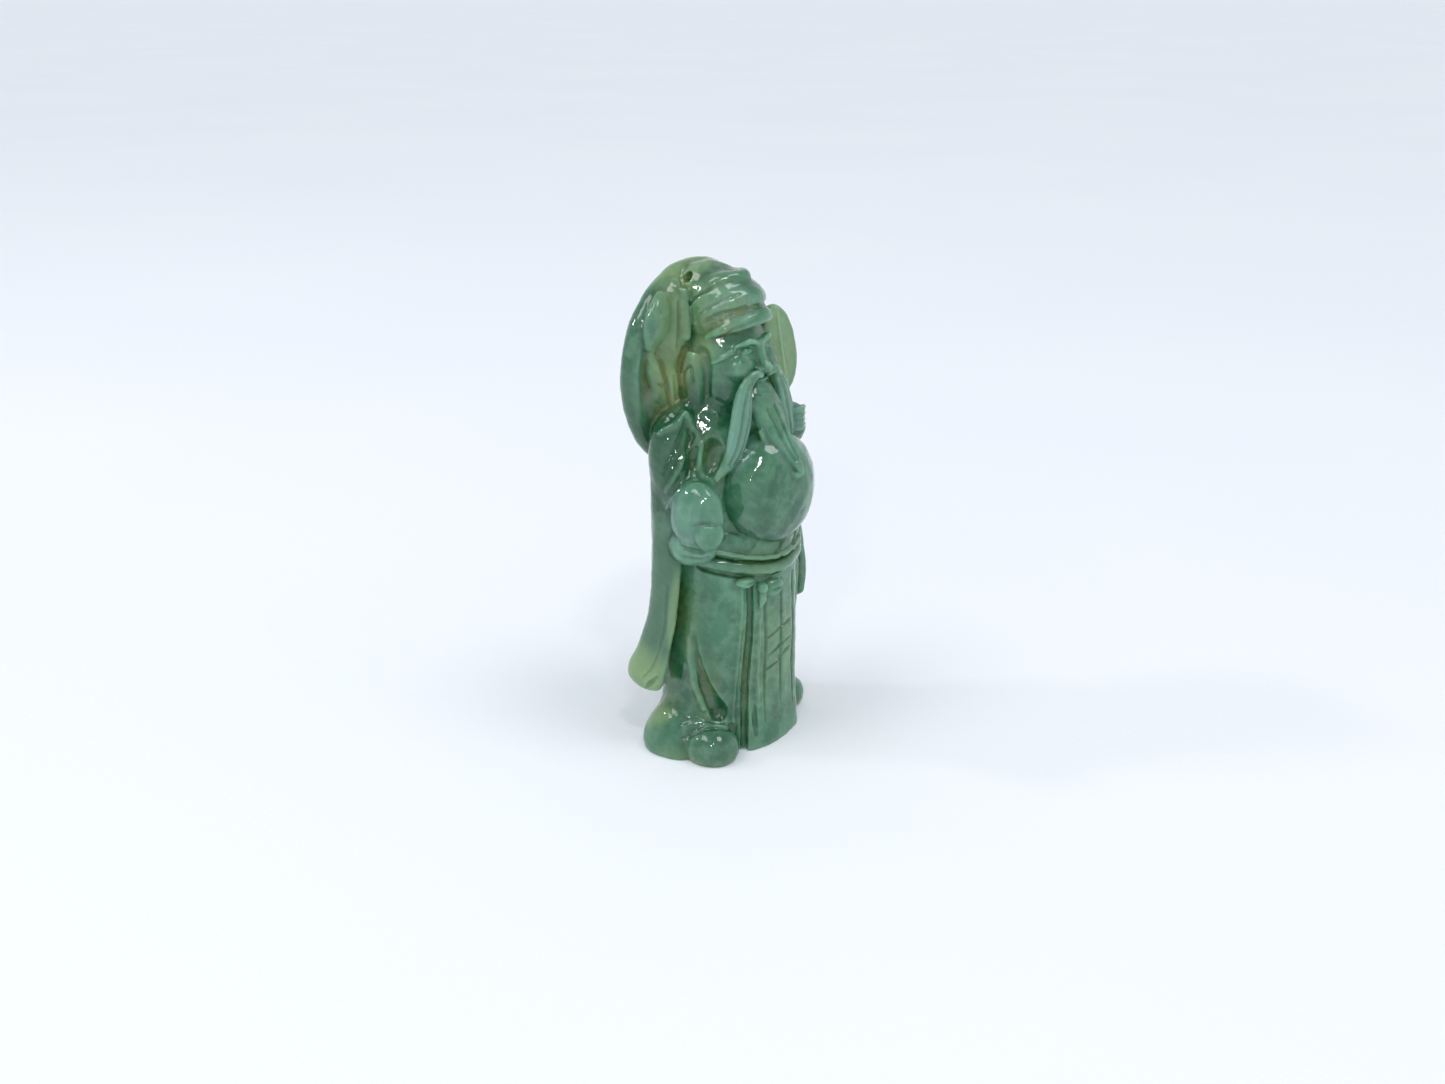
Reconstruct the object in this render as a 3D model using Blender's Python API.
"""A standing robed figure, 51 mm tall, carved from one piece of jade.

The stone is divided along the carver's own grooves, so each carved mass is a named solid.
The figure faces -Y, its right hand is on the -X side, and it stands on z = 0.
Lengths here are in millimetres and become metres where a mesh is stored.
"""

import math

import bmesh
import bpy
from mathutils import Matrix, Vector

MM = 0.001

# Driving dimensions.
HEIGHT = 51.0
GAP = 0.3  # the groove left between two neighbouring masses
HOLE_DIAMETER = 1.0  # the cord hole, from side to side behind the cap

# Heights of the landmarks.
HEM_Z = 5.0
WAIST_Z = 22.0
BELLY_Z = 28.4
SHOULDER_Z = 33.5
HEAD_Z = 41.2
CAP_Z = 46.5

# The round disc behind the head.
DISC_RADIUS = 10.9
DISC_THICKNESS = 2.3
DISC_Y = 6.4
DISC_Z = HEIGHT - DISC_RADIUS - 0.05

# The oval of the waist, seen from above.
WAIST_Y = 1.2
WAIST_HALF_WIDTH = 7.4
WAIST_HALF_DEPTH = 6.35
SASH_RISE = 1.7  # how much higher the bands sit at the sides than in front

# The rounded mass between cap and disc, and the hole through it.
CORD_BOSS = (0.0, 4.5, 49.2)
CORD_HOLE = (0.0, 4.55, 49.6)

MUCH_CUT = ("torso",)  # pieces whose many crossing grooves the exact solver can't resolve

RING_SIDES = 18  # sides of a turned or lofted section
SMALL_SIDES = 10  # sides of a small rounded mass
LARGE = 4.0  # the radius from which a rounded mass has RING_SIDES
LOCK_SIDES = 8  # sides of a swept lock of hair or a roll of cloth

GREEN = (0.07, 0.24, 0.16, 1.0)
PALE = (0.23, 0.46, 0.40, 1.0)
OLIVE = (0.28, 0.40, 0.17, 1.0)


def clear_scene():
    for item in list(bpy.data.objects):
        bpy.data.objects.remove(item, do_unlink=True)


def polish(name, colour):
    """A polished jade material of this colour."""
    material = bpy.data.materials.new(name)
    material.use_nodes = True
    shader = material.node_tree.nodes["Principled BSDF"]
    shader.inputs["Base Color"].default_value = colour
    shader.inputs["Roughness"].default_value = 0.12
    shader.inputs["Metallic"].default_value = 0.0
    material.diffuse_color = colour
    return material


def mirrored(points):
    """The same points on the figure's other side."""
    return [(-point[0],) + tuple(point[1:]) for point in points]


def ring_faces(mesh, rings):
    """Joins rings of equal length into one closed skin with flat ends."""
    sides = len(rings[0])
    for lower, upper in zip(rings, rings[1:]):
        for i in range(sides):
            j = (i + 1) % sides
            mesh.faces.new((lower[i], lower[j], upper[j], upper[i]))
    mesh.faces.new(list(reversed(rings[0])))
    mesh.faces.new(rings[-1])
    bmesh.ops.recalc_face_normals(mesh, faces=mesh.faces)


def ellipsoid(centre, radii, turn=(0.0, 0.0, 0.0), floor=False):
    """A shape maker for an ellipsoid, with its turn in degrees about X, Y and Z."""
    sides = RING_SIDES if max(radii) > LARGE else SMALL_SIDES

    def make(grow):
        mesh = bmesh.new()
        bmesh.ops.create_uvsphere(mesh, u_segments=sides, v_segments=sides // 2 + 2, radius=1.0)
        size = Matrix.Diagonal([radius + grow for radius in radii] + [1.0])
        spin = Matrix.Identity(4)
        for axis, angle in zip("XYZ", turn):
            spin = Matrix.Rotation(math.radians(angle), 4, axis) @ spin
        place = Matrix.Translation(centre) @ spin @ size
        bmesh.ops.transform(mesh, matrix=place, verts=mesh.verts)
        if floor and grow == 0.0:
            cut_at_floor(mesh)
        return mesh

    return make


def cut_at_floor(mesh):
    """Cuts off all that is below z = 0 and closes the flat underside."""
    everything = mesh.verts[:] + mesh.edges[:] + mesh.faces[:]
    bmesh.ops.bisect_plane(
        mesh, geom=everything, dist=1e-5, plane_co=(0, 0, 0), plane_no=(0, 0, -1), clear_outer=True
    )
    rim = [edge for edge in mesh.edges if edge.is_boundary]
    bmesh.ops.contextual_create(mesh, geom=rim)
    bmesh.ops.recalc_face_normals(mesh, faces=mesh.faces)


def smooth_path(points, steps):
    """Points along a Catmull-Rom curve through the given ones, whose later values are sizes."""
    rows = [Vector(point) for point in points]
    path = []
    for i in range(len(rows) - 1):
        before = rows[max(i - 1, 0)]
        start, end = rows[i], rows[i + 1]
        after = rows[min(i + 2, len(rows) - 1)]
        for step in range(steps):
            t = step / steps
            row = 0.5 * (
                2 * start
                + (end - before) * t
                + (2 * before - 5 * start + 4 * end - after) * t**2
                + (3 * start - before - 3 * end + after) * t**3
            )
            path.append(row)
    path.append(rows[-1])
    return path


def lock(points, faces=(0.0, -1.0, 0.0), steps=3):
    """A shape maker for a swept mass: each point is (x, y, z, half width) and the flat side looks along faces.

    A fifth value is the half thickness, which is otherwise 0.6 of the half width.
    """
    rows = [tuple(point) if len(point) == 5 else tuple(point) + (0.6 * point[3],) for point in points]

    def make(grow):
        path = smooth_path(rows, steps)
        centres = [Vector(row[:3]) for row in path]
        rings = []
        mesh = bmesh.new()
        for i, row in enumerate(path):
            along = (centres[min(i + 1, len(path) - 1)] - centres[max(i - 1, 0)]).normalized()
            across = along.cross(Vector(faces)).normalized()
            out = across.cross(along).normalized()
            centre = centres[i]
            if i == 0:
                centre = centre - along * grow
            if i == len(path) - 1:
                centre = centre + along * grow
            ring = []
            for side in range(LOCK_SIDES):
                angle = 2 * math.pi * side / LOCK_SIDES
                reach = across * math.cos(angle) * (row[3] + grow) + out * math.sin(angle) * (row[4] + grow)
                ring.append(mesh.verts.new(centre + reach))
            rings.append(ring)
        ring_faces(mesh, rings)
        return mesh

    return make


def tower(sections, power=2.5):
    """A shape maker for a lofted mass: each section is (z, centre x, centre y, half width, half depth)."""

    def make(grow):
        mesh = bmesh.new()
        rings = []
        last = len(sections) - 1
        for i, (z, x, y, half_width, half_depth) in enumerate(sections):
            level = z - grow if i == 0 else z + grow if i == last else z
            ring = []
            for side in range(RING_SIDES):
                angle = 2 * math.pi * side / RING_SIDES
                cosine, sine = math.cos(angle), math.sin(angle)
                wide = math.copysign(abs(cosine) ** (2 / power), cosine) * (half_width + grow)
                deep = math.copysign(abs(sine) ** (2 / power), sine) * (half_depth + grow)
                ring.append(mesh.verts.new((x + wide, y + deep, level)))
            rings.append(ring)
        ring_faces(mesh, rings)
        return mesh

    return make


def disc(centre, half_width, half_height, half_thickness, tilt=0.0):
    """A shape maker for an upright plate with a rounded rim, tilted about X by an angle in degrees."""

    def make(grow):
        mesh = bmesh.new()
        rings = []
        for level, inset in ((-1.0, 0.7), (-0.55, 0.15), (0.0, 0.0), (0.55, 0.15), (1.0, 0.7)):
            ring = []
            for side in range(2 * RING_SIDES):
                angle = 2 * math.pi * side / (2 * RING_SIDES)
                shrink = inset * half_thickness
                x = math.cos(angle) * (half_width - shrink + grow)
                z = math.sin(angle) * (half_height - shrink + grow)
                ring.append(mesh.verts.new((x, level * (half_thickness + grow), z)))
            rings.append(ring)
        ring_faces(mesh, rings)
        place = Matrix.Translation(centre) @ Matrix.Rotation(math.radians(tilt), 4, "X")
        bmesh.ops.transform(mesh, matrix=place, verts=mesh.verts)
        return mesh

    return make


def store(name, mesh, material=None):
    """Puts a bmesh, in millimetres, into the scene as an object in metres."""
    bmesh.ops.transform(mesh, matrix=Matrix.Scale(MM, 4), verts=mesh.verts)
    data = bpy.data.meshes.new(name)
    mesh.to_mesh(data)
    mesh.free()
    data.shade_smooth()
    data.set_sharp_from_angle(angle=math.radians(40))
    thing = bpy.data.objects.new(name, data)
    bpy.context.scene.collection.objects.link(thing)
    if material:
        data.materials.append(material)
    return thing


def as_cutter(thing):
    thing.hide_render = True
    thing.display_type = "WIRE"
    return thing


def near(first, second, reach=0.0):
    """Whether the boxes of two shapes come within reach of each other."""
    return all(
        min(one[1], two[1]) - max(one[0], two[0]) > -reach for one, two in zip(first, second)
    )


def box_of(mesh):
    return [
        (min(vertex.co[axis] for vertex in mesh.verts), max(vertex.co[axis] for vertex in mesh.verts))
        for axis in range(3)
    ]


def cut(thing, cutter):
    groove = thing.modifiers.new(f"around {cutter.name}", "BOOLEAN")
    groove.operation = "DIFFERENCE"
    groove.solver = "MANIFOLD" if thing.name in MUCH_CUT else "EXACT"
    groove.object = cutter


def carve(pieces):
    """Stores each piece, grooved along every neighbour listed before it."""
    earlier = []
    stored = {}
    for name, (shape, colour) in pieces.items():
        mesh = shape(0.0)
        box = box_of(mesh)
        thing = store(name, mesh, polish(name, colour))
        for cutter, cutter_box in earlier:
            if near(box, cutter_box):
                cut(thing, cutter)
        grown = shape(GAP)
        grown_box = box_of(grown)
        earlier.append((as_cutter(store(f"{name}_groove", grown)), grown_box))
        stored[name] = thing
    return stored


def drill_cord_hole(thing):
    mesh = bmesh.new()
    along_x = Matrix.Translation(CORD_HOLE) @ Matrix.Rotation(math.radians(90), 4, "Y")
    bmesh.ops.create_cone(
        mesh,
        cap_ends=True,
        segments=16,
        radius1=HOLE_DIAMETER / 2,
        radius2=HOLE_DIAMETER / 2,
        depth=2 * DISC_RADIUS,
        matrix=along_x,
    )
    cut(thing, as_cutter(store("cord_hole", mesh)))


def hands():
    return {
        "right_thumb": (ellipsoid((-9.8, -3.1, 26.1), (1.4, 1.5, 1.75), (10, 0, 0)), PALE),
        "right_hand": (ellipsoid((-9.2, -1.1, 27.5), (2.1, 3.0, 3.5), (10, 0, 0)), PALE),
        "right_hand_lump": (ellipsoid((-9.0, -0.4, 24.1), (1.8, 2.9, 2.1), (-14, 0, 0)), PALE),
        "left_hand": (ellipsoid((5.9, -2.4, 34.4), (1.5, 1.5, 1.7)), GREEN),
    }


def beard():
    strand = [
        (-1.3, -2.9, 40.2, 0.5),
        (-2.7, -2.7, 39.4, 0.8),
        (-4.0, -2.7, 36.0, 1.25),
        (-5.4, -2.2, 32.1, 0.9),
        (-6.4, -1.6, 30.7, 0.4),
    ]
    middle = [
        (0.0, -2.1, 38.7, 1.8, 0.9),
        (-0.3, -4.0, 35.4, 1.95, 1.2),
        (-0.4, -5.3, 33.7, 1.35, 0.95),
        (-0.3, -6.6, 32.2, 0.9, 0.65),
        (-0.3, -7.9, 30.8, 0.5, 0.45),
    ]
    return {
        "beard": (lock(middle), GREEN),
        "right_moustache": (lock(strand), PALE),
        "left_moustache": (lock(mirrored(strand)), PALE),
    }


def waistband(front_z, half_height, half_thickness):
    """A band round the front of the waist, from one side to the other."""
    band = []
    for degrees in range(-90, 91, 30):
        angle = math.radians(degrees)
        x = WAIST_HALF_WIDTH * math.sin(angle)
        y = WAIST_Y - WAIST_HALF_DEPTH * math.cos(angle)
        z = front_z + SASH_RISE * math.sin(angle) ** 2
        band.append((x, y, z, half_thickness, half_height))
    return lock(band, faces=(0, 0, 1), steps=2)


def sash():
    return {
        "sash_bow_right": (ellipsoid((-4.9, -4.4, 19.4), (1.25, 0.75, 0.7), (0, 8, -16)), GREEN),
        "sash_bow_left": (ellipsoid((-2.0, -5.6, 18.4), (1.25, 0.75, 0.9), (0, -6, -16)), GREEN),
        "upper_sash": (waistband(WAIST_Z + 0.7, 1.2, 0.6), GREEN),
        "lower_sash": (waistband(WAIST_Z - 1.65, 0.8, 0.65), GREEN),
    }


def feet():
    return {
        "right_shoe": (ellipsoid((-8.0, -2.0, 1.3), (2.55, 2.9, 2.45), floor=True), GREEN),
        "left_shoe": (ellipsoid((7.2, -1.0, 1.2), (2.4, 2.1, 2.1), floor=True), GREEN),
        "right_hem": (ellipsoid((-8.6, 2.6, 1.2), (2.6, 3.6, 3.6), floor=True), GREEN),
        "left_hem": (ellipsoid((8.4, 2.8, 1.2), (2.5, 3.4, 3.4), floor=True), GREEN),
    }


def front_panel():
    sections = [
        (0.0, 0.0, -2.8, 5.2, 2.8),
        (HEM_Z, 0.0, -2.5, 5.1, 2.8),
        (14.0, 0.0, -2.4, 5.0, 2.8),
        (19.0, 0.0, -2.3, 4.8, 2.8),
    ]
    return {"front_panel": (tower(sections, power=2.6), GREEN)}


def cap():
    wing = (-7.5, 4.8, 45.9)
    wing_radii = (1.5, 0.95, 2.6)
    pieces = {}
    rolls = {
        "upper": (((0.0, 0.2, 49.6), (1.8, 1.5, 49.5), (3.1, 3.4, 48.7)), 0.8, 0.78),
        "middle": (((0.0, -1.1, 48.0), (2.3, 0.1, 47.7), (4.0, 2.2, 46.7)), 1.15, 0.85),
        "lower": (((0.0, -2.2, 46.1), (2.3, -1.2, 45.7), (4.2, 0.7, 44.7)), 0.9, 0.7),
    }
    for level, (points, half_height, half_thickness) in rolls.items():
        front, side, end = points
        half = [side + (half_height, half_thickness), end + (0.6 * half_height, 0.6 * half_thickness)]
        arch = list(reversed(mirrored(half))) + [front + (half_height, half_thickness)] + half
        pieces[f"cap_{level}_roll"] = (lock(arch, faces=(0, 0.6, 1)), GREEN)
    pieces["right_hat_wing"] = (ellipsoid(wing, wing_radii, (0, 20, 0)), GREEN)
    pieces["left_hat_wing"] = (ellipsoid((-wing[0], wing[1], wing[2]), wing_radii, (0, -20, 0)), GREEN)
    pieces["cord_boss"] = (ellipsoid(CORD_BOSS, (3.2, 1.5, 1.7)), GREEN)
    return pieces


def fan():
    return {"fan": (disc((5.2, -0.7, 41.5), 2.8, 4.6, 0.8, tilt=-10.0), OLIVE)}


def sleeves():
    tail = [
        (-8.3, 3.4, 31.0, 1.7, 1.4),
        (-8.9, 2.9, 26.0, 1.7, 1.1),
        (-9.3, 2.7, 21.3, 1.75, 1.0),
        (-9.5, 3.5, 14.4, 1.75, 0.9),
        (-9.7, 4.3, 11.4, 2.0, 0.95),
        (-9.95, 5.3, 7.6, 2.3, 0.95),
    ]
    flap = [
        (8.6, 2.6, 31.5, 2.2, 1.3),
        (9.1, 2.3, 26.0, 2.9, 1.1),
        (9.5, 1.6, 20.0, 3.1, 1.0),
        (9.7, 0.6, 15.5, 2.7, 0.95),
        (9.8, -0.2, 12.4, 1.6, 0.7),
    ]
    return {
        "right_hanging_sleeve": (lock(tail, faces=(-1, 0, 0)), OLIVE),
        "left_hanging_sleeve": (lock(flap, faces=(1, 0, 0)), OLIVE),
        "right_sleeve": (ellipsoid((-7.8, 2.5, 32.2), (2.6, 2.7, 5.0), (-18, 0, 0)), GREEN),
        "left_sleeve": (ellipsoid((7.4, 1.3, 33.4), (2.4, 4.4, 2.8), (12, 0, 0)), GREEN),
    }


def head():
    ear = (-4.8, 2.6, 39.6)
    ear_radii = (0.95, 1.3, 3.5)
    nose = [(0.0, -2.3, 43.0, 0.4, 0.4), (0.0, -3.2, 40.9, 0.7, 0.55)]
    return {
        "nose": (lock(nose), GREEN),
        "right_ear": (ellipsoid(ear, ear_radii), GREEN),
        "left_ear": (ellipsoid((-ear[0], ear[1], ear[2]), ear_radii), GREEN),
        "head": (ellipsoid((0, 1.7, HEAD_Z), (4.5, 4.2, 5.6)), GREEN),
        "cap_crown": (ellipsoid((0, 2.5, CAP_Z), (4.5, 4.2, 4.2)), GREEN),
    }


def robe():
    chest = [
        (WAIST_Z + 0.4, 0, WAIST_Y, 5.9, 4.9),
        (WAIST_Z + 3.0, 0, WAIST_Y, 6.4, 5.2),
        (BELLY_Z, 0, 1.7, 7.4, 5.2),
        (SHOULDER_Z, 0, 2.4, 7.2, 4.6),
        (SHOULDER_Z + 2.5, 0, 2.9, 6.2, 4.1),
        (SHOULDER_Z + 5.0, 0, 3.2, 4.2, 3.1),
    ]
    skirt = [
        (0.0, 0, 1.6, 8.2, 5.2),
        (HEM_Z, 0, 1.6, 8.3, 5.4),
        (0.5 * WAIST_Z, 0, 1.6, 8.2, 5.8),
        (WAIST_Z, 0, WAIST_Y, 7.5, 6.0),
    ]
    cape = [
        (6.8, 0, 6.3, 8.0, 2.5),
        (0.5 * WAIST_Z, 0, 6.1, 7.9, 2.5),
        (BELLY_Z, 0, 5.5, 7.7, 2.4),
        (SHOULDER_Z + 0.5, 0, 5.3, 7.0, 2.4),
    ]
    return {
        "back_disc": (disc((0, DISC_Y, DISC_Z), DISC_RADIUS, DISC_RADIUS, DISC_THICKNESS / 2), GREEN),
        "back_robe": (tower(cape), GREEN),
        "belly": (ellipsoid((0, -3.2, BELLY_Z), (6.0, 4.45, 6.2)), GREEN),
        "torso": (tower(chest), GREEN),
        "skirt": (tower(skirt), GREEN),
    }


def main():
    clear_scene()
    pieces = {}
    for group in (hands, beard, sash, feet, front_panel, cap, fan, sleeves, head, robe):
        pieces.update(group())
    stored = carve(pieces)
    drill_cord_hole(stored["cord_boss"])


main()
